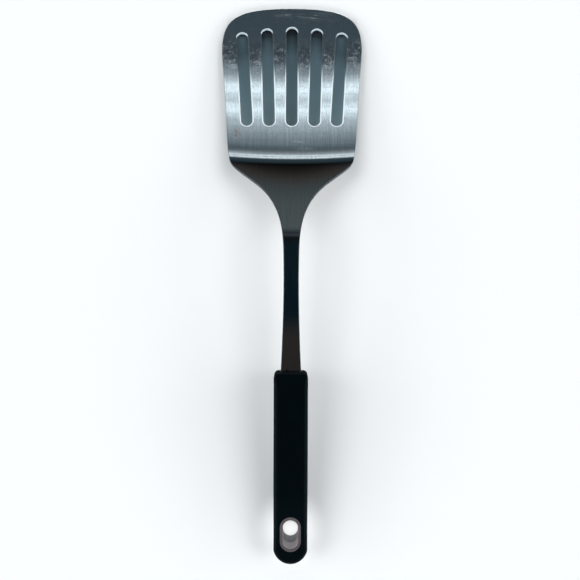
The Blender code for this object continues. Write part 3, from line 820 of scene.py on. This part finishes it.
    # where the rims carry the white painted highlight, they are not metal
    pale = g.m('MAXIMUM', g.m('SUBTRACT', 1.0, up_beside), far_end)
    metal = g.m('SUBTRACT', 1.0, g.m('MULTIPLY', g.m('MULTIPLY', rim, pale), 0.92))
    metal = g.m('SUBTRACT', metal, g.m('MULTIPLY', marks, 0.20))
    metal = g.m('SUBTRACT', metal, g.m('MULTIPLY', stain, 0.5), clamp=True)
    g.put(b.inputs['Metallic'], metal)

    rough = g.lerp(blade, 0.062, 0.094)
    rough = g.m('ADD', rough, g.m('MULTIPLY', g.m('SUBTRACT', broad, 0.5), 0.015))
    rough = g.m('ADD', rough, g.m('MULTIPLY', marks, 0.15))
    rough = g.m('ADD', rough, g.m('MULTIPLY', stain, 0.25))
    rough = g.m('ADD', rough, g.m('MULTIPLY', rust, 0.05))
    rough = g.m('ADD', rough, g.m('MULTIPLY', g.m('SUBTRACT', 1.0, on_flat), 0.16))
    rough = g.m('MAXIMUM', rough, g.m('MULTIPLY', rim, 0.5))
    g.put(b.inputs['Roughness'], rough)
    b.inputs['Anisotropic'].default_value = 1.0
    tangent = g.node('ShaderNodeTangent', direction_type='UV_MAP', uv_map="sheet").outputs[0]
    g.put(b.inputs['Tangent'], tangent)

    # each brushed line leans a little to one side
    lean = g.m('ADD', g.ease(fine, 0.44, 0.56, -0.21, 0.21), g.m('MULTIPLY', g.m('SUBTRACT', mid, 0.5), 0.10))
    lean = g.m('MULTIPLY', lean, g.m('MULTIPLY', g.lerp(blade, 0.10, 1.0), on_flat))
    normal = g.node('ShaderNodeNewGeometry').outputs['Normal']
    normal = g.v('NORMALIZE', g.v('ADD', normal, g.v('SCALE', tangent, scale=lean)))
    g.put(b.inputs['Normal'], normal)
    return mat


def grip_material():
    mat, g, b = new_material("soft_touch_black", (0.004, 0.006, 0.007))
    at = g.node('ShaderNodeTexCoord').outputs['Object']
    p = g.v('MULTIPLY', at, (1000.0, 1000.0, 1000.0))
    pore = g.noise(p, 4.5, 2.0, 0.5)
    cloud = g.noise(p, 0.10, 3.0, 0.55)
    rub = g.noise(g.v('MULTIPLY', p, (1.0, 0.22, 1.0)), 0.55, 3.0, 0.6)
    dust_f = g.noise(p, 1.9, 2.0, 0.4)
    dust = g.ease(dust_f, 0.735, 0.78)
    colour = g.mixc(cloud, (0.0002, 0.0010, 0.0016, 1.0), (0.0004, 0.0015, 0.0023, 1.0))
    colour = g.mixc(g.m('MULTIPLY', g.ease(rub, 0.5, 0.8), 0.30), colour, (0.0022, 0.0034, 0.0042, 1.0))
    colour = g.mixc(g.m('MULTIPLY', dust, 0.06), colour, (0.10, 0.10, 0.10, 1.0))
    g.put(b.inputs['Base Color'], colour)
    rough = g.m('ADD', 0.44, g.m('MULTIPLY', g.m('SUBTRACT', cloud, 0.5), 0.12))
    rough = g.m('SUBTRACT', rough, g.m('MULTIPLY', g.ease(rub, 0.5, 0.8), 0.05))
    # the end that faces the blade is as moulded, without the polish of handling
    facing = g.v('DOT_PRODUCT', g.node('ShaderNodeNewGeometry').outputs['Normal'], (0.0, math.cos(REST_TILT), math.sin(REST_TILT)))
    rough = g.m('ADD', rough, g.ease(facing, 0.10, 0.45, 0.0, 0.5), clamp=True)
    g.put(b.inputs['Roughness'], rough)
    b.inputs['Specular IOR Level'].default_value = 0.05
    b.inputs['Specular Tint'].default_value = (0.40, 0.78, 1.0, 1.0)
    bump = g.node('ShaderNodeBump')
    bump.inputs['Strength'].default_value = 0.35
    bump.inputs['Distance'].default_value = 0.00006
    g.put(bump.inputs['Height'], pore)
    g.put(b.inputs['Normal'], bump.outputs[0])
    return mat


def core_material(front):
    light = (0.056, 0.046, 0.049, 1.0)
    dark = (0.040, 0.033, 0.036, 1.0)
    # the hole's wall colour is painted light: lighter on the front core, darker painted shade on the back core's deeper
    # half
    hole_wall_painted_light = (0.38, 0.35, 0.36, 1.0) if front else (0.125, 0.13, 0.142, 1.0)
    mat, g, b = new_material("taupe_plastic_front" if front else "taupe_plastic_back", light[:3])
    at = g.node('ShaderNodeTexCoord').outputs['Object']
    p = g.v('MULTIPLY', at, (1000.0, 1000.0, 1000.0))
    cloud = g.noise(p, 0.22, 3.0, 0.6)
    grit = g.noise(p, 5.0, 2.0, 0.5)
    scuff = g.ease(g.noise(g.v('MULTIPLY', p, (1.0, 0.5, 2.0)), 1.1, 4.0, 0.65), 0.56, 0.74)
    colour = g.mixc(cloud, dark, light)
    colour = g.mixc(g.m('MULTIPLY', scuff, 0.30), colour, (0.10, 0.088, 0.088, 1.0))
    # painted light and shade on the hole's far wall
    wall = g.node('ShaderNodeAttribute', attribute_name="wall").outputs['Fac']
    hole_wall_painted_colour = g.mixc(g.m('MULTIPLY', scuff, 0.4), hole_wall_painted_light, tuple(0.8 * c for c in hole_wall_painted_light[:3]) + (1.0,))
    colour = g.mixc(wall, colour, hole_wall_painted_colour)
    g.put(b.inputs['Base Color'], colour)
    g.put(b.inputs['Roughness'], g.m('ADD', 0.46, g.m('MULTIPLY', g.m('SUBTRACT', cloud, 0.5), 0.16)))
    b.inputs['Specular IOR Level'].default_value = 0.35
    bump = g.node('ShaderNodeBump')
    bump.inputs['Strength'].default_value = 0.25
    bump.inputs['Distance'].default_value = 0.00005
    g.put(bump.inputs['Height'], grit)
    g.put(b.inputs['Normal'], bump.outputs[0])
    return mat


# ---------------------------------------------------------------------------------------------------------------------
# pieces
# ---------------------------------------------------------------------------------------------------------------------

steel = build_steel()
steel.data.materials.append(steel_material())
grip = build_grip()
grip.data.materials.clear()
grip.data.materials.append(grip_material())
core_front = build_core(True)
core_front.data.materials.clear()
core_front.data.materials.append(core_material(True))
core_back = build_core(False)
core_back.data.materials.clear()
core_back.data.materials.append(core_material(False))

for piece, node, slot in ((steel, "blade_and_shank", "steel"), (grip, "grip_sleeve", "grip"),
                          (core_front, "handle_core_front", "core"), (core_back, "handle_core_back", "core")):
    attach(piece, "root")
    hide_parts(node)

# ---------------------------------------------------------------------------------------------------------------------
# floor, light and camera
# ---------------------------------------------------------------------------------------------------------------------

bm = bmesh.new()
bmesh.ops.create_grid(bm, x_segments=8, y_segments=8, size=6.0)
floor_mesh = bpy.data.meshes.new("floor")
bm.to_mesh(floor_mesh)
bm.free()
floor = bpy.data.objects.new("floor", floor_mesh)
floor.location = (0.0, 0.0, -0.00005)
bpy.context.scene.collection.objects.link(floor)
mat, g, b = new_material("pale_floor", (0.9, 0.9, 0.9))
fp = g.node('ShaderNodeTexCoord').outputs['Object']
floor_colour = g.mixc(g.noise(fp, 3.0, 3.0, 0.5), (0.865, 0.87, 0.87, 1.0), (0.88, 0.885, 0.885, 1.0))
# painted contact shadow of the blade on the floor, under the slots only: darkest towards the tip
fx, fy, _ = g.xyz(fp)
painted_floor_shade_mask = g.m('MULTIPLY', g.ease(g.m('ABSOLUTE', fx), 0.0400, 0.0485, 1.0, 0.0), g.m('MULTIPLY', g.ease(fy, 0.058, 0.095), g.ease(fy, 0.171, 0.181, 1.0, 0.0)))
near_tip = g.m('ADD', fy, g.m('MULTIPLY', g.m('MULTIPLY', fx, fx), 6.5))
beside = g.m('ABSOLUTE', fx)
near_tip = g.m('MINIMUM', near_tip, g.ease(beside, 0.022, 0.029, 0.185, 0.1597))
painted_floor_shade = g.ramp(g.m('DIVIDE', g.m('SUBTRACT', near_tip, 0.090), 0.085),
               ((0.0, (0.345, 0.465, 0.50)), (0.23, (0.238, 0.344, 0.386)), (0.46, (0.18, 0.273, 0.312)), (0.69, (0.157, 0.238, 0.285)),
                (0.80, (0.10, 0.152, 0.18)), (0.875, (0.060, 0.088, 0.104)), (0.905, (0.028, 0.039, 0.050)), (1.0, (0.024, 0.033, 0.043))))
middle = g.m('SUBTRACT', 1.0, g.m('MULTIPLY', g.ease(beside, 0.006, 0.013, 1.0, 0.0), g.ease(fy, 0.148, 0.166, 0.20, 0.42)))
painted_floor_shade = g.v('SCALE', painted_floor_shade, scale=middle)
floor_colour = g.mixc(painted_floor_shade_mask, floor_colour, painted_floor_shade)
g.put(b.inputs['Base Color'], floor_colour)
b.inputs['Roughness'].default_value = 0.9
b.inputs['Specular IOR Level'].default_value = 0.1
floor_mesh.materials.append(mat)

world = bpy.data.worlds.new("studio")
bpy.context.scene.world = world
world.use_nodes = True
g = Graph(world.node_tree)
direction = g.v('NORMALIZE', g.node('ShaderNodeTexCoord').outputs['Generated'])
dx, dy, dz = g.xyz(direction)
GRAIN = (0.0, math.cos(math.radians(4.5)), -math.sin(math.radians(4.5)))
chi = g.m('MULTIPLY', g.m('ARCCOSINE', g.v('DOT_PRODUCT', direction, GRAIN)), 180.0 / math.pi)
azimuth = g.m('MULTIPLY', g.m('ABSOLUTE', g.m('ARCTAN2', dx, dy)), 180.0 / math.pi)
elevation = g.m('MULTIPLY', g.m('ARCSINE', dz), 180.0 / math.pi)

# soft room beyond the blade's tip, by angle to the brushing
COOL, NECK, WARM, BLACK = (0.72, 1.02, 1.26), (0.86, 1.05, 1.09), (1.12, 0.97, 0.92), (0.27, 1.0, 1.5)
room_stops = ((24.0, 0.005, BLACK), (28.4, 0.005, WARM), (29.2, 0.018, WARM), (30.0, 0.050, WARM), (31.0, 0.083, NECK), (32.7, 0.114, NECK), (35.2, 0.125, NECK),
              (40.0, 0.122, COOL), (50.0, 0.088, COOL), (56.0, 0.097, COOL), (60.0, 0.122, COOL), (64.0, 0.130, COOL), (68.0, 0.070, COOL), (76.0, 0.022, COOL),
              (90.0, 0.009, BLACK), (104.0, 0.010, BLACK), (107.0, 0.030, WARM), (112.0, 0.027, WARM), (122.0, 0.030, WARM), (130.0, 0.07, NECK), (140.0, 0.24, NECK), (152.0, 0.32, NECK), (162.0, 0.26, NECK))
LOW, HIGH = 22.0, 164.0
room = g.ramp(g.m('DIVIDE', g.m('SUBTRACT', chi, LOW), HIGH - LOW),
              [((a - LOW) / (HIGH - LOW), tuple(q * c for c in tint)) for a, q, tint in room_stops])

# a low pale strip far beyond the tip, which picks out the edges that face it
far = g.v('SCALE', g.vec(0.97, 1.0, 1.02), scale=g.ease(chi, 15.0, 20.5, 8.0, 0.0))

# the window bands that the blade mirrors
LOW_B, HIGH_B, PEAK = 53.0, 66.0, 4.0
band_stops = ((54.4, 0.0), (54.9, 0.015), (55.3, 0.06), (55.6, 0.13), (56.0, 0.22), (56.4, 0.43), (56.9, 0.82), (57.25, 1.52), (57.65, 1.86), (58.05, 1.25), (58.5, 0.82),
              (58.9, 1.00), (59.2, 1.60), (59.5, 1.78), (59.85, 1.20), (60.3, 0.72), (60.9, 0.58), (61.4, 0.41), (62.0, 0.25), (62.8, 0.10), (63.6, 0.02), (65.5, 0.0))
GAIN = 1.1
band = g.ramp(g.m('DIVIDE', g.m('SUBTRACT', chi, LOW_B), HIGH_B - LOW_B),
              [((a - LOW_B) / (HIGH_B - LOW_B), (0.90 * q * GAIN / PEAK, 1.03 * q * GAIN / PEAK, 1.09 * q * GAIN / PEAK)) for a, q in band_stops])
side_mask = g.m('MULTIPLY', g.ease(azimuth, 11.0, 16.0), g.ease(azimuth, 46.0, 60.0, 1.0, 0.0))
band = g.v('SCALE', band, scale=g.m('MULTIPLY', side_mask, PEAK))

# low ring of soft light round the sides and behind, which lights the floor
ring_mask = g.m('MULTIPLY', g.m('MULTIPLY', g.ease(elevation, 7.0, 12.0), g.ease(elevation, 21.0, 28.0, 1.0, 0.0)), g.ease(azimuth, 62.0, 72.0))
box_mask = g.m('MULTIPLY', g.m('MULTIPLY', g.ease(elevation, 30.0, 38.0), g.ease(elevation, 64.0, 72.0, 1.0, 0.0)), g.m('MULTIPLY', g.ease(azimuth, 62.0, 72.0), g.ease(azimuth, 100.0, 112.0, 1.0, 0.0)))
ring_light = g.v('SCALE', g.vec(0.985, 1.0, 1.01), scale=g.m('ADD', g.m('MULTIPLY', ring_mask, 5.0), g.m('MULTIPLY', box_mask, 4.7)))
below = g.ease(elevation, -2.0, 0.0, 1.0, 0.0)
light = g.v('ADD', g.v('ADD', room, far), g.v('ADD', band, ring_light))
light = g.mixc(below, light, (0.5, 0.5, 0.5, 1.0))
seen = g.mixc(g.node('ShaderNodeLightPath').outputs['Is Camera Ray'], light, (0.93, 0.935, 0.94, 1.0))
background = g.node('ShaderNodeBackground')
g.put(background.inputs['Color'], seen)
background.inputs['Strength'].default_value = 1.0
out = g.node('ShaderNodeOutputWorld')
g.tree.links.new(background.outputs[0], out.inputs['Surface'])
world.cycles.sampling_method = 'MANUAL'
world.cycles.sample_map_resolution = 2048

# a small snooted lamp that shines through the hanging hole
snoot_data = bpy.data.lights.new("snoot", 'SPOT')
snoot_data.energy = 16.0
snoot_data.shadow_soft_size = 0.012
snoot_data.spot_size = math.radians(2.6)
snoot_data.spot_blend = 0.35
snoot = bpy.data.objects.new("snoot", snoot_data)
hole_at = TO_ROW @ Vector((0.0, HOLE_Y, 0.0))
aim = (TO_ROW @ Vector((0.0, 0.0, 0.3284)) - hole_at).normalized()
snoot.location = hole_at + aim * 0.60
snoot.rotation_euler = aim.to_track_quat('Z', 'Y').to_euler()
bpy.context.scene.collection.objects.link(snoot)

cam_data = bpy.data.cameras.new("camera")
cam_data.sensor_width = 36.0
cam_data.sensor_fit = 'HORIZONTAL'
cam_data.lens = 36.0 * 534.0 / 580.0
cam_data.clip_start = 0.01
cam_data.clip_end = 50.0
cam_data.shift_x = -1.15 / 580.0
cam_data.shift_y = 0.5 / 580.0
camera = bpy.data.objects.new("camera", cam_data)
camera.matrix_world = TO_ROW @ Matrix.Translation((0.0, 0.0, 0.3284)) @ Matrix.Rotation(math.radians(0.19), 4, 'Z')
bpy.context.scene.collection.objects.link(camera)
bpy.context.scene.camera = camera

bpy.context.scene.view_settings.view_transform = 'Standard'
bpy.context.scene.view_settings.look = 'None'

bpy.context.view_layer.update()
